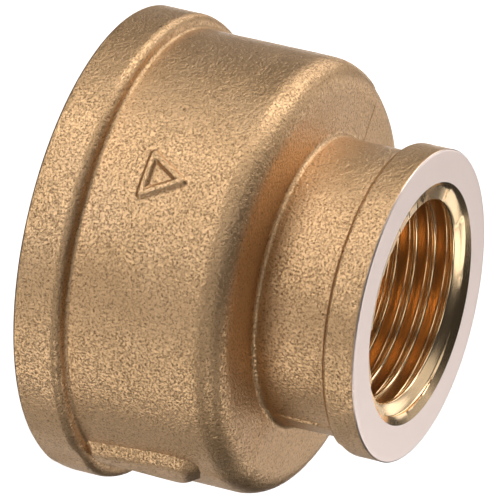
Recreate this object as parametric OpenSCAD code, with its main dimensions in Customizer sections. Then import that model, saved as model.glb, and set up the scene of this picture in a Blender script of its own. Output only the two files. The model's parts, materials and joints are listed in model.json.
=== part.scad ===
// Reducing coupling, cast gunmetal, with parallel pipe threads G1 and G1/2.
// The real object is one casting. Its wall is drawn here as separate zones
// that meet face to face, so that each has its own shape, finish and collision:
// the cast skin outside, and the two machined threads inside.
// Origin: centre of the machined face of the large end. +Z runs along the
// axis towards the small end. The mould parted on the XZ plane, and the grip
// rib lies on it, on the +X side.

/* [Body] */
// Length from the large end's face to the small end's face
coupling_length = 30; // [30:0.5:34]
// Outside diameter of the band around the large end
large_band_d = 42; // [41.4:0.2:44]
// Height of the large band, from the face to where the barrel starts
large_band_h = 5; // [4:0.25:6]
// Outside diameter of the large barrel
barrel_d = 39.6; // [39:0.1:40.2]
// Height of the shoulder at the neck's root
shoulder_h = 19.6; // [19.4:0.1:21]
// Radius of the rounded edge between the barrel and the shoulder
shoulder_round = 2.6; // [2:0.2:3]
// How much lower the shoulder is at its rounded edge than at the neck
shoulder_fall = 0.2; // [0:0.1:0.6]
// Outside diameter of the neck
neck_d = 26; // [25.6:0.1:27]
// Outside diameter of the band around the small end
small_band_d = 28.5; // [28:0.1:30]
// Height of the small band
small_band_h = 3.2; // [2.6:0.1:3.8]
// Radius of the fillets at both ends of the neck
fillet_r = 0.5; // [0.3:0.1:0.8]

/* [Large thread, G1] */
// Major diameter, at the roots of the internal thread
large_major_d = 33.249; // [33.249]
// Pitch, 11 threads to the inch
large_pitch = 2.309; // [2.309]
// Length of the large thread
large_thread_l = 13; // [12:0.25:13.5]

/* [Small thread, G1/2] */
// Major diameter, at the roots of the internal thread
small_major_d = 20.955; // [20.955]
// Pitch, 14 threads to the inch
small_pitch = 1.814; // [1.814]
// Length of the small thread
small_thread_l = 11.8; // [11:0.1:12]

/* [Rib and mark] */
// Width of the grip rib
rib_w = 5.7; // [4:0.1:7]
// Distance from the axis to the crown of the rib
rib_reach = 20.6; // [20.2:0.1:20.9]
// Height along the axis at which the rib ends
rib_top = 15.2; // [13:0.2:15.6]
// Length of each side of the three-sided cast mark on the barrel
mark_side = 5.4; // [5:0.2:6]
// How far the mark stands out of the barrel
mark_h = 0.35; // [0.2:0.05:0.5]
// Height of the mark's centre along the axis
mark_z = 10.6; // [9:0.1:12]

/* [Hidden] */
$fn = 240;

large_band_r = large_band_d / 2;
barrel_r = barrel_d / 2;
neck_r = neck_d / 2;
small_band_r = small_band_d / 2;

// Whitworth form: 55 degrees, truncated to a sixth of the pitch
thread_depth = 0.640327;
crest_share = 1 / 6;
root_share = 5 / 6;
large_major_r = large_major_d / 2;
small_major_r = small_major_d / 2;
large_minor_r = large_major_r - thread_depth * large_pitch;
small_minor_r = small_major_r - thread_depth * small_pitch;
// A turn of thread is built from this many arcs, each a little higher than the last
arcs = 8;

// The mouth chamfers open a little wider than the thread roots, and each
// machined lining is a little wider than its chamfer
mouth_relief = 0.8;
lining_land = 0.15;
large_lining_r = large_major_r + mouth_relief + lining_land;
small_lining_r = small_major_r + mouth_relief + lining_land;

// Heights at which one zone of the wall ends and the next begins
shoulder_zone_z = 16;
neck_z = shoulder_h + fillet_r;
small_band_z = coupling_length - small_band_h;
small_thread_z = coupling_length - small_thread_l;

// Chamber between the two threads, as cast, and the throat above it
chamber_r = 15.4;
chamber_z = 14.4;
throat_r = small_major_r + 0.1;

// Edges
face_edge = 0.35;
large_band_round = 0.9;
small_band_round = 0.5;
// Width and height of the slope from the large band down to the barrel
slope_h = 0.6;
// Width of the cast mark's strokes
mark_stroke = 0.9;

cast = [0.72, 0.58, 0.40];
cast_light = [0.76, 0.62, 0.45];
machined = [0.86, 0.72, 0.52];

// Half of a ring's section: a rectangle whose outer corner at height z1 is rounded
module rounded_band(r, z0, z1, corner_r) {
    translate([0, z0]) square([r - corner_r, z1 - z0]);
    translate([0, z0]) square([r, z1 - z0 - corner_r]);
    translate([r - corner_r, z1 - corner_r]) circle(r = corner_r);
}

// Corner fillet between a vertical wall of radius r and a floor at height z
module root_fillet(r, z) {
    difference() {
        translate([r - 0.1, z - 0.1]) square(fillet_r + 0.1);
        translate([r + fillet_r, z + fillet_r]) circle(r = fillet_r);
    }
}

// Outline of the casting outside, as one closed half section
module outer_section() {
    round_z = shoulder_h - shoulder_fall - shoulder_round;
    difference() {
        union() {
            // large band and the slope behind it
            rounded_band(large_band_r, 0, large_band_h - slope_h, large_band_round);
            polygon([
                [0, 1], [large_band_r - large_band_round, 1],
                [large_band_r - large_band_round, large_band_h - slope_h],
                [barrel_r, large_band_h], [0, large_band_h]
            ]);
            // barrel and shoulder
            square([barrel_r, round_z]);
            translate([barrel_r - shoulder_round, round_z]) circle(r = shoulder_round);
            polygon([
                [0, round_z], [barrel_r - shoulder_round, round_z],
                [barrel_r - shoulder_round, shoulder_h - shoulder_fall],
                [neck_r, shoulder_h], [0, shoulder_h]
            ]);
            root_fillet(neck_r, shoulder_h - 0.02);
            // neck
            square([neck_r, coupling_length]);
            translate([0, 2 * small_band_z]) mirror([0, 1]) root_fillet(neck_r, small_band_z);
            // small band, rounded on its underside
            translate([0, coupling_length + small_band_z]) mirror([0, 1])
                rounded_band(small_band_r, small_band_z, coupling_length, small_band_round);
        }
        // broken edges of the two machined faces
        translate([large_band_r, 0]) rotate(45)
            square(face_edge * sqrt(2), center = true);
        translate([small_band_r, coupling_length]) rotate(45)
            square(face_edge * sqrt(2), center = true);
    }
}

// Half section of the hollow inside the linings: chamber, throat and the seat
// of the small thread's lining
module inner_section() {
    square([large_lining_r, large_thread_l]);
    translate([0, large_thread_l - 1]) square([chamber_r, chamber_z - large_thread_l + 1]);
    polygon([
        [0, chamber_z - 1], [chamber_r, chamber_z - 1], [chamber_r, chamber_z],
        [throat_r, small_thread_z], [0, small_thread_z]
    ]);
    translate([0, small_thread_z]) square([small_lining_r, small_thread_l]);
}

// A zone of the wall: what lies between two heights
module zone(z0, z1) {
    rotate_extrude()
        intersection() {
            difference() {
                outer_section();
                inner_section();
            }
            translate([0, z0]) square([large_band_r + 1, z1 - z0]);
        }
}

module large_end_band() {
    color(cast) zone(0, large_band_h);
}

module large_barrel() {
    color(cast) zone(large_band_h, shoulder_zone_z);
}

module reducing_shoulder() {
    color(cast) zone(shoulder_zone_z, neck_z);
}

module small_neck() {
    color(cast) zone(neck_z, small_band_z);
}

module small_end_band() {
    color(cast_light) zone(small_band_z, coupling_length);
}

// Half section of a threaded lining whose mouth is at height 0 and whose thread
// runs upwards. The rise moves the whole comb of teeth along the axis.
module thread_section(major_r, minor_r, pitch, length, lining_r, rise) {
    difference() {
        intersection() {
            translate([minor_r - 0.001, 0]) square([lining_r - minor_r + 0.001, length]);
            union() {
                translate([major_r, -1]) square([lining_r - major_r, length + 2]);
                for (k = [-1 : ceil(length / pitch) + 1])
                    translate([0, k * pitch + rise])
                        polygon([
                            [major_r + 0.01, -root_share * pitch / 2],
                            [major_r, -root_share * pitch / 2],
                            [minor_r, -crest_share * pitch / 2],
                            [minor_r, crest_share * pitch / 2],
                            [major_r, root_share * pitch / 2],
                            [major_r + 0.01, root_share * pitch / 2]
                        ]);
            }
        }
        // mouth chamfer at 45 degrees
        polygon([
            [minor_r - 1, -1], [major_r + mouth_relief + 1, -1],
            [minor_r - 1, major_r + mouth_relief - minor_r + 1]
        ]);
    }
}

// A right-hand internal thread, built up of arcs that climb by a pitch a turn
module threaded_lining(major_r, minor_r, pitch, length, lining_r) {
    for (i = [0 : arcs - 1])
        rotate([0, 0, i * 360 / arcs])
            rotate_extrude(angle = 360 / arcs)
                thread_section(major_r, minor_r, pitch, length, lining_r, pitch * (i + 0.5) / arcs);
}

module large_thread() {
    color(machined)
        threaded_lining(large_major_r, large_minor_r, large_pitch, large_thread_l, large_lining_r);
}

module small_thread() {
    color(machined)
        translate([0, 0, coupling_length]) rotate([180, 0, 0])
            threaded_lining(small_major_r, small_minor_r, small_pitch, small_thread_l, small_lining_r);
}

// The rib stands on the barrel and runs into the slope of the large band
module grip_rib() {
    rib_foot = large_band_h - slope_h;
    color(cast)
        difference() {
            translate([0, -rib_w / 2, rib_foot])
                cube([rib_reach, rib_w, rib_top - rib_foot]);
            rotate_extrude() outer_section();
        }
}

// A plain three-sided outline, raised from the middle of one mould half
module cast_mark() {
    outer_r = mark_side / sqrt(3);
    color(cast)
        difference() {
            translate([0, -barrel_r - mark_h, mark_z]) rotate([-90, 90, 0])
                linear_extrude(height = 2)
                    difference() {
                        circle(r = outer_r, $fn = 3);
                        circle(r = outer_r - 2 * mark_stroke, $fn = 3);
                    }
            cylinder(r = barrel_r, h = coupling_length);
        }
}

large_end_band();
large_barrel();
reducing_shoulder();
small_neck();
small_end_band();
large_thread();
small_thread();
grip_rib();
cast_mark();
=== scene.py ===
"""Looks of the reducing coupling: a shot-blasted gunmetal casting with machined faces and threads.

Every zone of the wall is built as its own closed mesh in the frame of the CAD
part, with the axis on +Z, and replaces the CAD node of the same name. Lengths
are in metres; MM turns millimetres into metres.
"""

import json
import math

import bpy
import numpy as np
from mathutils import Matrix, Vector, noise


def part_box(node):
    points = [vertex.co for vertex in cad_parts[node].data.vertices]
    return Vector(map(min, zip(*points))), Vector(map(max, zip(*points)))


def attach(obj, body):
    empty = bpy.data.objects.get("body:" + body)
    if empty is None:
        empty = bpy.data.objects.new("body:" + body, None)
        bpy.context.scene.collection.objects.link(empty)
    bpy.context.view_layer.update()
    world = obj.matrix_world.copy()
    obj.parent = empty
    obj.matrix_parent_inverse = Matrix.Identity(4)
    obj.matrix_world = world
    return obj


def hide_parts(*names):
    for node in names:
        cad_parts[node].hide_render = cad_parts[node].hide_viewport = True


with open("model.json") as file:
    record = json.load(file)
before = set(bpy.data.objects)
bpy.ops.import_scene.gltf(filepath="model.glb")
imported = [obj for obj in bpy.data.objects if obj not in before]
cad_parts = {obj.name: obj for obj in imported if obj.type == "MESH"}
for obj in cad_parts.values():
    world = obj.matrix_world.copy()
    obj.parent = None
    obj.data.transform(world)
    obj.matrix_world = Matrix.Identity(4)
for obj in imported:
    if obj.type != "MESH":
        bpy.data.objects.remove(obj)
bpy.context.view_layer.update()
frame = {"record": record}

MM = 0.001

# ---------------------------------------------------------------- sizes


def reach(node):
    """Largest distance of a round CAD node from the axis."""
    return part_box(node)[1][1]


def bottom(node):
    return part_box(node)[0][2]


def top(node):
    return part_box(node)[1][2]


LENGTH = top("small_end_band")
LARGE_BAND_R = reach("large_end_band")
LARGE_BAND_Z = top("large_end_band")
BARREL_R = reach("large_barrel")
BARREL_Z = top("large_barrel")
NECK_Z = top("reducing_shoulder")
SMALL_BAND_R = reach("small_end_band")
SMALL_BAND_Z = bottom("small_end_band")
LARGE_THREAD_Z = top("large_thread")
SMALL_THREAD_Z = bottom("small_thread")
RIB_TOP = top("grip_rib")
RIB_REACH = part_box("grip_rib")[1][0]
MARK_Z = 10.6 * MM
MARK_HEIGHT = -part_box("cast_mark")[0][1] - BARREL_R
MARK_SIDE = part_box("cast_mark")[1][0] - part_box("cast_mark")[0][0]

NECK_R = 13.0 * MM
SHOULDER_Z = 19.6 * MM
SHOULDER_FALL = 0.2 * MM
SHOULDER_ROUND = 2.6 * MM
NECK_FILLET = NECK_Z - SHOULDER_Z
CREASE_Z = LARGE_BAND_Z - 0.4 * MM
CHAMBER_R = 15.4 * MM
CHAMBER_Z = 14.4 * MM

# Whitworth pipe threads, with depth and rounding as shares of the pitch. The
# record's mounts give the crest radius of each thread.
INCH = 25.4 * MM
LARGE_PITCH = INCH / 11
SMALL_PITCH = INCH / 14
DEPTH = 0.640327
ROUNDING = 0.137329
FLANK = math.radians(27.5)
crest_r = {
    mount["name"]: mount["dims"]["r_mm"] * MM
    for mount in frame["record"]["mounts"] if "r_mm" in mount["dims"]
}
LARGE_CREST_R = crest_r["large_end_thread"]
SMALL_CREST_R = crest_r["small_end_thread"]
# The countersink at each mouth: how far it is wider than the thread, and its slope
MOUTH_RELIEF = 0.58 * MM
COUNTERSINK = math.tan(math.radians(50))
LARGE_MOUTH_R = LARGE_CREST_R + DEPTH * LARGE_PITCH + MOUTH_RELIEF
SMALL_MOUTH_R = SMALL_CREST_R + DEPTH * SMALL_PITCH + MOUTH_RELIEF
THROAT_R = SMALL_CREST_R + DEPTH * SMALL_PITCH + 0.1 * MM

# The back half of the mould sat a little off the front half, the small band's
# sand was pressed off centre, and the large band bulges at the back
MISMATCH_X = 0.19 * MM
MISMATCH_Z = 0.29 * MM
SMALL_BAND_LEAN = 0.2 * MM
LARGE_BAND_BULGE = 0.22 * MM
SEAM_DEPTH = 0.12 * MM
SEAM_DIP = 0.1 * MM
FLASH_HEIGHT = 0.11 * MM

# ---------------------------------------------------------------- outlines


def rounded(corners, arc_step=math.radians(9), spacing=0.5 * MM):
    """Points of an outline through corners (r, z, corner radius), with an arc at
    each corner and points at most one spacing apart on the straights."""
    path = []
    for i, (r, z, radius) in enumerate(corners):
        here = np.array([r, z])
        if radius == 0 or i in (0, len(corners) - 1):
            path.append(here)
            continue
        to_last = np.array(corners[i - 1][:2]) - here
        to_next = np.array(corners[i + 1][:2]) - here
        to_last /= np.linalg.norm(to_last)
        to_next /= np.linalg.norm(to_next)
        half = math.acos(np.clip(to_last @ to_next, -1, 1)) / 2
        inward = (to_last + to_next) / np.linalg.norm(to_last + to_next)
        centre = here + inward * radius / math.sin(half)
        start = here + to_last * radius / math.tan(half) - centre
        end = here + to_next * radius / math.tan(half) - centre
        sweep = math.pi - 2 * half
        side = np.sign(start[0] * end[1] - start[1] * end[0])
        steps = max(3, math.ceil(sweep / arc_step))
        for k in range(steps + 1):
            a = side * sweep * k / steps
            path.append(centre + np.array([
                start[0] * math.cos(a) - start[1] * math.sin(a),
                start[0] * math.sin(a) + start[1] * math.cos(a),
            ]))
    points = [path[0]]
    for p in path[1:]:
        gap = np.linalg.norm(p - points[-1])
        if gap < 1e-7:
            continue
        pieces = math.ceil(gap / spacing)
        last = points[-1]
        points += [last + (p - last) * k / pieces for k in range(1, pieces + 1)]
    return np.array(points)


LARGE_BAND_SKIN = rounded([
    (BARREL_R, LARGE_BAND_Z, 0),
    (BARREL_R, CREASE_Z, 0.4 * MM),
    (LARGE_BAND_R, CREASE_Z - 0.3 * MM, 0.95 * MM),
    (LARGE_BAND_R, 0, 0.25 * MM),
    (LARGE_MOUTH_R, 0, 0),
])
BARREL_SKIN = rounded([(BARREL_R, BARREL_Z, 0), (BARREL_R, LARGE_BAND_Z, 0)])
SHOULDER_SKIN = rounded([
    (NECK_R, NECK_Z, 0),
    (NECK_R, SHOULDER_Z, NECK_FILLET),
    (BARREL_R, SHOULDER_Z - SHOULDER_FALL, SHOULDER_ROUND),
    (BARREL_R, BARREL_Z, 0),
])
UNDER_FILLET = 0.45 * MM
NECK_SKIN = rounded([
    (NECK_R + UNDER_FILLET, SMALL_BAND_Z, 0),
    (NECK_R, SMALL_BAND_Z, UNDER_FILLET),
    (NECK_R, NECK_Z, 0),
])
SMALL_BAND_SKIN = rounded([
    (SMALL_MOUTH_R, LENGTH, 0),
    (SMALL_BAND_R, LENGTH, 0.2 * MM),
    (SMALL_BAND_R, SMALL_BAND_Z, 0.55 * MM),
    (NECK_R + UNDER_FILLET, SMALL_BAND_Z, 0),
])


def chamber_radius(z):
    """Inner radius of the cast chamber, which narrows from its wall to the throat."""
    share = (z - CHAMBER_Z) / (SMALL_THREAD_Z - CHAMBER_Z)
    return CHAMBER_R + (THROAT_R - CHAMBER_R) * min(max(share, 0), 1)


# ---------------------------------------------------------------- the mould


def sand(x, y, z, scale):
    """Smooth noise, about -1 to 1, with features of the given size in metres."""
    return noise.noise(Vector((x, y, z)) / scale)


def smooth(t):
    """0 to 1 with soft ends as t goes from 0 to 1."""
    t = min(max(t, 0.0), 1.0)
    return t * t * (3 - 2 * t)


def round_from_rib(x, y):
    """Degrees round the axis from +X, the middle of the near parting."""
    return math.degrees(math.atan2(y, x))


def parting(x, y, z):
    """How far a point is across the parting of the mould: the shares of the back
    half's shift along X and along Z there, and the depth of the seam. On the near
    side (+X) the seam was ground soft; on the far side it is a fine crisp crevice."""
    a = round_from_rib(x, y)
    if abs(a) > 90:
        past = math.copysign(180 - abs(a), a)
        share = smooth(past / 0.16 + 0.5)
        slow = 0.5 * smooth(past / 22 + 1) + share * (0.1 + 0.4 * smooth(past / 22))
        return share, slow, math.exp(-((past / 0.14) ** 2))
    height = z / MM
    middle = np.interp(height, [14.8, 16.2, 18.0, 20.0], [0.0, -1.2, -1.6, -0.9])
    width = np.interp(height, [14.8, 16.4, 18.0, 19.6, 20.6], [13.0, 2.5, 9.0, 14.0, 3.0])
    share = smooth((a - middle) / width + 0.5)
    return share, share, 0.0


def flash(x, y, z):
    """Height of the fine bead left on the neck at the near parting."""
    across = (round_from_rib(x, y) + 0.9) / 0.5
    height = z / MM
    ends = smooth((height - 21.2) / 0.8) * smooth((24.6 - height) / 0.8)
    return FLASH_HEIGHT * math.exp(-(across ** 2)) * ends


def mould(x, y, z):
    """Where a point of the cast skin lies, with the mismatch of the two mould
    halves, the waviness of the sand, and the machined faces kept flat."""
    share_x, share_z, crevice = parting(x, y, z)
    clear_of_faces = min(max(min(z, LENGTH - z) / MM, 0.0), 1.0)
    share_x *= smooth((SMALL_BAND_Z + 0.8 * MM - z) / (3 * MM)) * smooth((z + 2 * MM) / (3 * MM))
    crevice *= smooth((SMALL_BAND_Z - z) / MM)
    wave = 0.035 * MM * sand(x, y, z, 3.2 * MM) + 0.05 * MM * sand(x, y, z, 9 * MM)
    lift = wave * min(1.0, 4 * clear_of_faces) + flash(x, y, z)
    lift -= SEAM_DEPTH * crevice * clear_of_faces
    a = round_from_rib(x, y)
    behind = smooth(a / 14) * smooth((70 - a) / 30)
    lift += LARGE_BAND_BULGE * behind * smooth((LARGE_BAND_Z - z) / MM) * clear_of_faces
    grow = 1 + lift / math.hypot(x, y)
    lean = SMALL_BAND_LEAN * smooth((z - SMALL_BAND_Z + 2 * MM) / (2.5 * MM))
    return (
        x * grow + share_x * MISMATCH_X + lean,
        y * grow,
        z + (share_z * MISMATCH_Z - SEAM_DIP * crevice) * clear_of_faces,
    )


def columns(count):
    """Angles round the axis, closer together at the two partings of the mould."""
    degrees = [360 / count * (i + 0.5) for i in range(count)]
    degrees = [d for d in degrees if 8 < d < 179.2 or 180.8 < d < 352]
    degrees += [180 + side * d for side in (-1, 1) for d in (0.04, 0.1, 0.2, 0.35, 0.6)]
    degrees += [(0.35 * k) % 360 for k in range(-22, 23)]
    return np.radians(sorted(degrees))


ROUND = columns(320)

# ---------------------------------------------------------------- meshes


def mesh_object(name, vertices, faces, materials, face_material=None, sharp=35):
    mesh = bpy.data.meshes.new(name)
    mesh.from_pydata([tuple(v) for v in vertices], [], faces)
    for material in materials:
        mesh.materials.append(material)
    if face_material is not None:
        mesh.polygons.foreach_set("material_index", face_material)
    mesh.polygons.foreach_set("use_smooth", [True] * len(mesh.polygons))
    mesh.update()
    mesh.set_sharp_from_angle(angle=math.radians(sharp))
    obj = bpy.data.objects.new(name, mesh)
    bpy.context.scene.collection.objects.link(obj)
    return obj


def stand_for(obj, *nodes, slot):
    """Puts a piece on the rigid body in place of its CAD nodes."""
    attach(obj, "root")
    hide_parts(*nodes)


def ground_flat(x, y, z):
    """The strip across the large band where the flash was ground away."""
    if z > CREASE_Z - 0.1 * MM or x < 0:
        return x, y
    middle = math.radians(2.2 - 0.7 * z / MM)
    half = math.radians(5.1)
    r, a = math.hypot(x, y), math.atan2(y, x) - middle
    if abs(a) > half:
        return x, y
    r = min(r, LARGE_BAND_R * math.cos(half) / math.cos(a))
    return r * math.cos(a + middle), r * math.sin(a + middle)


def cast_zone(name, skin, inside, machined_above=LENGTH, machined_below=0.0):
    """A zone of the casting: its skin outside, listed from the small end to the
    large one, and the corners of its inner wall, listed the other way."""
    loop = [(r, z, True) for r, z in skin] + [(r, z, False) for r, z in inside]
    mouth = min(skin[0][0], skin[-1][0])
    vertices, faces, on_face = [], [], []
    for r, z, cast in loop:
        mouth_edge = r < mouth + 1e-6 and z in (0, LENGTH)
        for a in ROUND:
            x, y = r * math.cos(a), r * math.sin(a)
            if cast and not mouth_edge:
                vertices.append(mould(*ground_flat(x, y, z), z))
            else:
                vertices.append((x, y, z))
    n = len(ROUND)
    for i in range(len(loop)):
        j = (i + 1) % len(loop)
        z0, z1 = loop[i][1], loop[j][1]
        machined = min(z0, z1) > machined_above or max(z0, z1) < machined_below
        for k in range(n):
            m = (k + 1) % n
            faces.append((i * n + k, j * n + k, j * n + m, i * n + m))
            on_face.append(int(machined))
    return mesh_object(name, vertices, faces, [CAST, FACED], on_face)


def thread_form(pitch):
    """One pitch of the thread as (climb, depth), starting at the crest."""
    rounding, depth = ROUNDING * pitch, DEPTH * pitch
    turns = np.linspace(0, math.pi / 2 - FLANK, 5)
    crest = [(rounding * math.sin(t), rounding * (1 - math.cos(t))) for t in turns]
    root = [(pitch / 2 - s, depth - d) for s, d in reversed(crest)]
    (s0, d0), (s1, d1) = crest[-1], root[0]
    flank = [((s0 * (3 - k) + s1 * k) / 3, (d0 * (3 - k) + d1 * k) / 3) for k in (1, 2)]
    rise = crest + flank + root
    fall = [(pitch - s, d) for s, d in reversed(rise[1:-1])]
    return rise + fall


def threaded_bore(name, crest, pitch, mouth, length, place, count=240):
    """A threaded lining with its countersink. It is built with the mouth at
    height 0 and the right-hand thread running up, then put in its place."""
    form = thread_form(pitch)
    rows = len(form)
    runout = 1.4 * pitch
    countersink_end = (mouth - crest - DEPTH * pitch) / COUNTERSINK

    def radius(z, depth):
        fade = min(1.0, max(0.0, (length - z) / runout))
        thread = crest + depth * min(1.0, fade * 1.3)
        return max(thread, mouth - z * COUNTERSINK) if z < countersink_end else thread

    vertices, faces, columns_of_thread = [], [], []
    for j in range(count):
        a = 2 * math.pi * j / count
        climb = pitch * j / count

        def ring_vertex(r, z):
            vertices.append((r * math.cos(a), r * math.sin(a), z))
            return len(vertices) - 1

        thread = {}
        first = -math.ceil(climb / pitch) - 1
        for turn in range(first, math.ceil(length / pitch) + 1):
            for k, (s, depth) in enumerate(form):
                z = turn * pitch + s + climb
                if 0.02 * MM < z < length - 0.02 * MM:
                    thread[turn * rows + k] = ring_vertex(radius(z, depth), z)
        corners = ((mouth, 0), (crest + 0.02 * MM, length), (mouth, length))
        ends = [ring_vertex(r, z) for r, z in corners]
        columns_of_thread.append((thread, ends))

    for j in range(count):
        here, here_ends = columns_of_thread[j]
        there, there_ends = columns_of_thread[(j + 1) % count]
        shift = rows if j == count - 1 else 0
        there = {key - shift: v for key, v in there.items()}
        common = sorted(set(here) & set(there))
        for key in common:
            if key + 1 in here and key + 1 in there:
                faces.append((here[key], there[key], there[key + 1], here[key + 1]))
        low, high = common[0], common[-1]
        left = [here[k] for k in sorted(here) if k <= low]
        right = [there[k] for k in sorted(there) if k <= low]
        faces.append([here_ends[0], there_ends[0], *right, *reversed(left)])
        left = [here[k] for k in sorted(here) if k >= high]
        right = [there[k] for k in sorted(there) if k >= high]
        faces.append([left[0], *right, there_ends[1], here_ends[1], *reversed(left[1:])])
        faces.append((here_ends[1], there_ends[1], there_ends[2], here_ends[2]))
        faces.append((here_ends[2], there_ends[2], there_ends[0], here_ends[0]))
    obj = mesh_object(name, vertices, faces, [THREADED], sharp=50)
    obj.data.transform(place)
    return obj


def skin_radius(z):
    """Radius of the cast skin at a height between the large face and the barrel's top."""
    skin = LARGE_BAND_SKIN[LARGE_BAND_SKIN[:, 1] > 0.3 * MM][::-1]
    return float(np.interp(z, skin[:, 1], skin[:, 0]))


def raised(name, middle, across, up, height):
    """A feature that stands out of the barrel. height(s, z) is how far the feature
    stands out at arc length s from its middle angle; it ends where that is zero."""
    grid = {}
    tops = np.array([[max(0.0, height(s, z)) for s in across] for z in up])
    vertices, faces = [], []

    def vertex(i, j, lift):
        lift = lift and tops[i, j] > 0
        key = (i, j, lift)
        if key not in grid:
            a = middle + across[j] / BARREL_R
            r = skin_radius(up[i]) + (tops[i, j] if lift else 0.0)
            grid[key] = len(vertices)
            vertices.append(mould(r * math.cos(a), r * math.sin(a), up[i]))
        return grid[key]

    for i in range(len(up) - 1):
        for j in range(len(across) - 1):
            if tops[i : i + 2, j : j + 2].max() <= 0:
                continue
            ring = [(i, j), (i, j + 1), (i + 1, j + 1), (i + 1, j)]
            faces.append([vertex(*c, True) for c in ring])
            faces.append([vertex(*c, False) for c in reversed(ring)])
    return mesh_object(name, vertices, faces, [CAST], sharp=80)


RIB_FOOT = 4.45 * MM
RIB_END = RIB_TOP - 0.08 * MM
RIB_MIDDLE = 0.35 * MM
RIB_SLANT = 0.40
RIB_CORNER = 2.1 * MM
RIB_SIDE = 1.5 * MM
RIB_CROWN = 0.1 * MM


def quarter(share):
    """0 to 1 along a quarter of a sine wave, for a rounded side."""
    return math.sin(math.pi / 2 * min(max(share, 0.0), 1.0))


def rib_height(s, z):
    """The rib: a low bar with rounded sides and a slanted end, narrower towards
    the large band, which it meets in a crevice."""
    end = RIB_END - RIB_SLANT * (s - RIB_MIDDLE)
    half = np.interp(z, [RIB_FOOT, 12 * MM], [1.75 * MM, 2.85 * MM])
    s = s - RIB_MIDDLE
    over_side = abs(s) - (half - RIB_CORNER)
    over_end = z - (end - RIB_CORNER)
    past_corner = math.hypot(max(over_side, 0), max(over_end, 0))
    depth = RIB_CORNER - past_corner - min(max(over_side, over_end), 0)
    rise = quarter(depth / RIB_SIDE)
    start = quarter((z - RIB_FOOT) / (0.7 * MM))
    if rise <= 0 or start <= 0:
        return 0.0
    crown = RIB_REACH - BARREL_R - RIB_CROWN * (s / half) ** 2
    return max(0.0, BARREL_R + crown * rise * start - skin_radius(z))


MARK_STROKE = 1.56 * MM


def mark_height(s, z):
    """A three-sided outline of rounded strokes, pointing towards the small end."""
    out = (MARK_SIDE - MARK_STROKE) / math.sqrt(3)
    turns = np.radians([0, 120, 240])
    corners = [np.array([out * math.sin(t), MARK_Z + out * math.cos(t)]) for t in turns]
    here = np.array([s, z])
    distance = 1.0
    for a, b in zip(corners, corners[1:] + corners[:1]):
        along = min(max((here - a) @ (b - a) / ((b - a) @ (b - a)), 0.0), 1.0)
        distance = min(distance, np.linalg.norm(here - a - along * (b - a)))
    return MARK_HEIGHT * smooth((0.52 * MM - distance) / (0.36 * MM))


# ---------------------------------------------------------------- materials


def material(name):
    m = bpy.data.materials.new(name)
    m.use_nodes = True
    tree = m.node_tree
    shader = tree.nodes["Principled BSDF"]
    shader.inputs["Metallic"].default_value = 1.0
    return m, tree, shader


def add(tree, kind, inputs=(), **settings):
    """A node with its settings, and its inputs as numbers or links by name."""
    node = tree.nodes.new(kind)
    for key, value in settings.items():
        setattr(node, key, value)
    for key, value in dict(inputs).items():
        if isinstance(value, bpy.types.NodeSocket):
            tree.links.new(value, node.inputs[key])
        else:
            node.inputs[key].default_value = value
    return node


def place_in(tree):
    return add(tree, "ShaderNodeTexCoord").outputs["Object"]


def grain(tree, where, size, detail=2.0, roughness=0.6):
    return add(tree, "ShaderNodeTexNoise", {
        "Vector": where, "Scale": 1 / size, "Detail": detail, "Roughness": roughness,
    }).outputs["Fac"]


def rings(tree, along, size):
    """Noise along one measure only, which gives turning marks."""
    return add(tree, "ShaderNodeTexNoise", {
        "W": along, "Scale": 1 / size, "Detail": 2.0,
    }, noise_dimensions="1D").outputs["Fac"]


def ramp(tree, value, stops):
    """Colour of a value, from stops (position, colour) in rising order."""
    node = add(tree, "ShaderNodeValToRGB", {"Fac": value})
    elements = node.color_ramp.elements
    for element, (position, colour) in ((elements[0], stops[0]), (elements[1], stops[-1])):
        element.position, element.color = position, (*colour, 1)
    for position, colour in stops[1:-1]:
        elements.new(position).color = (*colour, 1)
    return node.outputs["Color"]


def spread(tree, value, low, high, value_max=1.0):
    """The value, from 0 to value_max, brought between low and high."""
    return add(tree, "ShaderNodeMapRange", {
        "Value": value, "From Max": value_max, "To Min": low, "To Max": high,
    }).outputs["Result"]


def times(tree, a, b):
    """Product of two colours."""
    node = add(tree, "ShaderNodeMix", {"Factor": 1.0}, data_type="RGBA", blend_type="MULTIPLY")
    tree.links.new(a, node.inputs["A"])
    tree.links.new(b, node.inputs["B"])
    return node.outputs["Result"]


def bumped(tree, height, strength, distance, over=None):
    """A normal with the height's bumps, laid over another bumped normal."""
    inputs = {"Strength": strength, "Distance": distance, "Height": height}
    if over is not None:
        inputs["Normal"] = over
    return add(tree, "ShaderNodeBump", inputs).outputs["Normal"]


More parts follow.
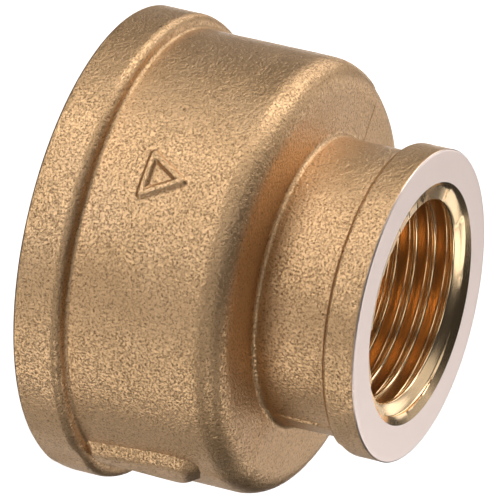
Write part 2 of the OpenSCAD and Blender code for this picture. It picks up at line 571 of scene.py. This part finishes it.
def cast_gunmetal():
    """Shot-blasted gunmetal: fine sparkling dimples over soft sand texture. The
    colour holds painted shade in the pits of the fine bump and painted highlight
    on their rims, over the grain's own speckle, and painted shade at a few pin
    holes, which are dark spots with no hole built."""
    m, tree, shader = material("cast_gunmetal")
    where = place_in(tree)
    fine = grain(tree, where, 0.21 * MM, detail=3, roughness=0.7)
    coarse = grain(tree, where, 0.9 * MM)
    broad = grain(tree, where, 7 * MM, detail=3)
    dimples = add(tree, "ShaderNodeTexVoronoi", {
        "Vector": where, "Scale": 1 / (0.29 * MM),
    }, feature="SMOOTH_F1").outputs["Distance"]
    pins = add(tree, "ShaderNodeTexVoronoi", {
        "Vector": where, "Scale": 1 / (2.2 * MM), "Randomness": 1.0,
    }).outputs["Distance"]
    outside_pin = spread(tree, pins, 0.0, 1.0, value_max=0.09)
    tint = ramp(tree, broad, [
        (0.3, (0.70, 0.445, 0.232)), (0.5, (0.76, 0.487, 0.260)), (0.7, (0.79, 0.517, 0.288)),
    ])
    # Painted shade and highlight over the grain's own speckle: darker where the fine bump is low, paler
    # where it is high
    grain_speck_and_pit_shade = ramp(tree, fine, [
        (0.30, (0.42, 0.38, 0.34)), (0.46, (0.88, 0.88, 0.88)), (0.62, (1.0, 1.0, 1.0)),
    ])
    pitted = ramp(tree, fine, [(0.30, (0, 0, 0)), (0.52, (1, 1, 1))])
    # Painted shade for pin holes: dark spots in the colour with no hole built under them
    pin_hole_painted_shade = ramp(tree, outside_pin, [(0.0, (0.25, 0.2, 0.16)), (1.0, (1, 1, 1))])
    colour = times(tree, times(tree, tint, grain_speck_and_pit_shade), pin_hole_painted_shade)
    tree.links.new(colour, shader.inputs["Base Color"])
    tree.links.new(spread(tree, coarse, 0.34, 0.46), shader.inputs["Roughness"])
    sandy = bumped(tree, coarse, 0.5, 0.10 * MM)
    dimpled = bumped(tree, dimples, 0.45, 0.085 * MM, over=sandy)
    blasted = bumped(tree, pitted, 1.0, 0.023 * MM, over=dimpled)
    tree.links.new(blasted, shader.inputs["Normal"])
    return m


def radius_of(tree, where):
    """Distance from the axis."""
    flat = add(tree, "ShaderNodeVectorMath", {0: where, 1: (1, 1, 0)}, operation="MULTIPLY")
    length = add(tree, "ShaderNodeVectorMath", {0: flat.outputs["Vector"]}, operation="LENGTH")
    return length.outputs["Value"]


def faced_gunmetal():
    """Faced on a lathe: pale and satin, with fine rings of tool marks."""
    m, tree, shader = material("faced_gunmetal")
    shader.inputs["Base Color"].default_value = (0.95, 0.79, 0.72, 1)
    where = place_in(tree)
    marks = rings(tree, radius_of(tree, where), 0.06 * MM)
    satin = spread(tree, grain(tree, where, 0.8 * MM), 0.28, 0.4)
    tree.links.new(satin, shader.inputs["Roughness"])
    tree.links.new(bumped(tree, marks, 0.25, 0.01 * MM), shader.inputs["Normal"])
    return m


def threaded_gunmetal():
    """Freshly cut thread and countersink: bright, warm and almost polished."""
    m, tree, shader = material("threaded_gunmetal")
    shader.inputs["Base Color"].default_value = (0.95, 0.68, 0.40, 1)
    shader.inputs["Roughness"].default_value = 0.22
    height = add(tree, "ShaderNodeSeparateXYZ", {"Vector": place_in(tree)}).outputs["Z"]
    marks = rings(tree, height, 0.07 * MM)
    tree.links.new(bumped(tree, marks, 0.15, 0.01 * MM), shader.inputs["Normal"])
    return m


CAST = cast_gunmetal()
FACED = faced_gunmetal()
THREADED = threaded_gunmetal()

# ---------------------------------------------------------------- pieces

FACE_EDGE = 0.12 * MM
small_band = cast_zone(
    "small_end_band_cast", SMALL_BAND_SKIN,
    [(SMALL_MOUTH_R, SMALL_BAND_Z)],
    machined_above=LENGTH - FACE_EDGE,
)
neck = cast_zone(
    "small_neck_cast", NECK_SKIN,
    [(SMALL_MOUTH_R, NECK_Z), (SMALL_MOUTH_R, SMALL_BAND_Z)],
)
shoulder = cast_zone(
    "reducing_shoulder_cast", SHOULDER_SKIN,
    [
        (chamber_radius(BARREL_Z), BARREL_Z), (THROAT_R, SMALL_THREAD_Z),
        (SMALL_MOUTH_R, SMALL_THREAD_Z), (SMALL_MOUTH_R, NECK_Z),
    ],
)
barrel = cast_zone(
    "large_barrel_cast", BARREL_SKIN,
    [
        (LARGE_MOUTH_R, LARGE_BAND_Z), (LARGE_MOUTH_R, LARGE_THREAD_Z), (CHAMBER_R, LARGE_THREAD_Z),
        (CHAMBER_R, CHAMBER_Z), (chamber_radius(BARREL_Z), BARREL_Z),
    ],
)
large_band = cast_zone(
    "large_end_band_cast", LARGE_BAND_SKIN,
    [(LARGE_MOUTH_R, LARGE_BAND_Z)],
    machined_below=FACE_EDGE,
)
for piece, node in (
    (small_band, "small_end_band"), (neck, "small_neck"), (shoulder, "reducing_shoulder"),
    (barrel, "large_barrel"), (large_band, "large_end_band"),
):
    stand_for(piece, node, slot="cast_gunmetal")

small_thread = threaded_bore(
    "small_thread_cut", SMALL_CREST_R, SMALL_PITCH, SMALL_MOUTH_R, LENGTH - SMALL_THREAD_Z,
    Matrix.Translation((0, 0, LENGTH)) @ Matrix.Rotation(math.pi, 4, "X"),
)
large_thread = threaded_bore(
    "large_thread_cut", LARGE_CREST_R, LARGE_PITCH, LARGE_MOUTH_R, LARGE_THREAD_Z,
    Matrix.Identity(4),
)
stand_for(small_thread, "small_thread", slot="machined_gunmetal")
stand_for(large_thread, "large_thread", slot="machined_gunmetal")

rib_across = np.arange(-3.3, 3.31, 0.1) * MM
rib = raised(
    "grip_rib_cast", 0.0, rib_across, np.arange(4.3 * MM, RIB_TOP + 0.8 * MM, 0.1 * MM), rib_height,
)
stand_for(rib, "grip_rib", slot="cast_gunmetal")

mark_span = np.arange(-3.6, 3.61, 0.08) * MM
mark = raised("cast_mark_raised", -math.pi / 2, mark_span, MARK_Z + mark_span, mark_height)
stand_for(mark, "cast_mark", slot="cast_gunmetal")

# ---------------------------------------------------------------- camera, floor and light

CAMERA_SIDE = math.radians(-73)
CAMERA_RISE = math.radians(21.634)
CAMERA_ROLL = math.radians(12.926)
CAMERA_DISTANCE = 950 * MM
# A long lens: the frame is 44 mm wide at the small face, whose centre is off to
# the right and a little below the middle
CAMERA_SENSOR = 36
CAMERA_LENS = 21.4316 * CAMERA_SENSOR
CENTRE_RIGHT = 15.12 * MM
CENTRE_BELOW = 4.79 * MM

outward = Vector((math.cos(CAMERA_SIDE), math.sin(CAMERA_SIDE), 0))
sideways = Vector((-math.sin(CAMERA_SIDE), math.cos(CAMERA_SIDE), 0))
back = outward * math.cos(CAMERA_RISE) + Vector((0, 0, 1)) * math.sin(CAMERA_RISE)
axis_seen = Vector((0, 0, 1)) * math.cos(CAMERA_RISE) - outward * math.sin(CAMERA_RISE)
right = axis_seen * math.cos(CAMERA_ROLL) - sideways * math.sin(CAMERA_ROLL)
up = back.cross(right)

camera_data = bpy.data.cameras.new("camera")
camera_data.sensor_width = CAMERA_SENSOR
camera_data.lens = CAMERA_LENS
camera_data.clip_start, camera_data.clip_end = 0.05, 20
camera = bpy.data.objects.new("camera", camera_data)
bpy.context.scene.collection.objects.link(camera)
bpy.context.scene.camera = camera
face_centre = Vector((0, 0, LENGTH))
eye = face_centre - right * CENTRE_RIGHT + up * CENTRE_BELOW + back * CAMERA_DISTANCE
turn = Matrix((right, up, back)).transposed().to_4x4()
camera.matrix_world = Matrix.Translation(eye) @ turn

FLOOR = 1.5
floor_mesh = bpy.data.meshes.new("floor")
floor_corners = [(x * FLOOR, y * FLOOR, 0) for x, y in ((-1, -1), (1, -1), (1, 1), (-1, 1))]
floor_mesh.from_pydata(floor_corners, [], [(0, 1, 2, 3)])
floor = bpy.data.objects.new("floor", floor_mesh)
floor_material = bpy.data.materials.new("floor")
floor_material.use_nodes = True
floor_shader = floor_material.node_tree.nodes["Principled BSDF"]
floor_shader.inputs["Base Color"].default_value = (0.9, 0.9, 0.9, 1)
floor_shader.inputs["Roughness"].default_value = 0.9
floor_shader.inputs["Emission Color"].default_value = (1, 1, 1, 1)
floor_shader.inputs["Emission Strength"].default_value = 0.85
floor_mesh.materials.append(floor_material)
bpy.context.scene.collection.objects.link(floor)
# The floor is a clear light table: the low softboxes shine through it
floor.visible_glossy = floor.visible_diffuse = floor.visible_shadow = False

world = bpy.data.worlds.new("studio")
bpy.context.scene.world = world
world.use_nodes = True
world.node_tree.nodes["Background"].inputs["Color"].default_value = (1, 1, 1, 1)
world.node_tree.nodes["Background"].inputs["Strength"].default_value = 0.03

SOFTBOX = 0.32
SOFTBOX_DISTANCE = 0.8


def softbox(azimuth, elevation, power):
    """A square area light aimed at the object, placed by its direction in degrees."""
    data = bpy.data.lights.new("softbox", "AREA")
    data.shape, data.size, data.energy = "SQUARE", SOFTBOX, power
    light = bpy.data.objects.new("softbox", data)
    a, e = math.radians(azimuth), math.radians(elevation)
    direction = Vector((math.cos(a) * math.cos(e), math.sin(a) * math.cos(e), math.sin(e)))
    light.location = direction * SOFTBOX_DISTANCE + Vector((0, 0, LENGTH / 2))
    light.rotation_mode = "QUATERNION"
    light.rotation_quaternion = direction.to_track_quat("Z", "Y")
    bpy.context.scene.collection.objects.link(light)


# These powers came from a least-squares fit to the photo, then were rounded and partly changed.
# A script should hold no such table, so this list is not one to copy: report.md says more.
for azimuth, elevation, power in (
    # a low ring, shining through the table
    (212, -22, 0.27), (238, -22, 1.06), (264, -22, 0.78), (289, -22, 0.81),
    (315, -22, 0.25), (341, -22, 0.54), (7, -22, 0.71), (58, -22, 0.28),
    (84, -22, 0.15), (109, -22, 1.5), (135, -22, 0.12),
    # level with the object
    (112, 5, 0.2), (157, 5, 0.83), (180, 5, 0.25), (202, 5, 1.3), (225, 5, 0.32),
    # above it
    (5, 30, 0.67), (95, 30, 0.42), (125, 30, 0.55), (155, 30, 0.13), (185, 30, 1.17),
    (230, 30, 0.35), (275, 30, 0.45), (320, 30, 0.35), (65, 55, 0.6), (155, 55, 0.24),
):
    softbox(azimuth, elevation, power)

bpy.context.scene.view_settings.view_transform = "Standard"
